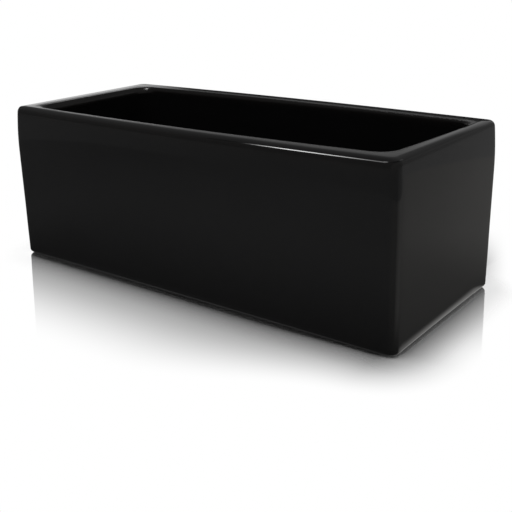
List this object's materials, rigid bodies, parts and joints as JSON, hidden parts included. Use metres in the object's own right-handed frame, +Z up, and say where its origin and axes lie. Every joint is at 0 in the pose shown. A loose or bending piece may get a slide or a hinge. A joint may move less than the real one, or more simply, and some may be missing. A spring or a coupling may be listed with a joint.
{
  "type": "trough planter",
  "caption": "Rectangular trough planter with thick soft-edged walls, drain holes closed by lift-out plugs, and pads under its base.",
  "frame": {"origin": "centre of the base, on the surface that the four pads stand on", "axes": "+Z up, +X along the trough's length, +Y across it towards the back wall"},
  "size_m": [0.2998, 0.1386, 0.108],
  "materials": {
    "black_glaze": "high-gloss black glaze over stoneware, bare clay on the foot ring",
    "plug_rubber": "matte moulded rubber",
    "pad_rubber": "matte, self-adhesive"
  },
  "bodies": {
    "trough": {"trough_body": "black_glaze", "foot_pad_front_left": "pad_rubber", "foot_pad_front_right": "pad_rubber", "foot_pad_back_left": "pad_rubber", "foot_pad_back_right": "pad_rubber"},
    "left_plug": {"drain_plug_left": "plug_rubber"},
    "right_plug": {"drain_plug_right": "plug_rubber"}
  },
  "joints": [
    {"name": "left_plug_lift", "type": "slide", "parent": "trough", "child": "left_plug", "axis": [0, 0, 1], "range_m": [0, 0.03]},
    {"name": "right_plug_lift", "type": "slide", "parent": "trough", "child": "right_plug", "axis": [0, 0, 1], "range_m": [0, 0.03]}
  ]
}
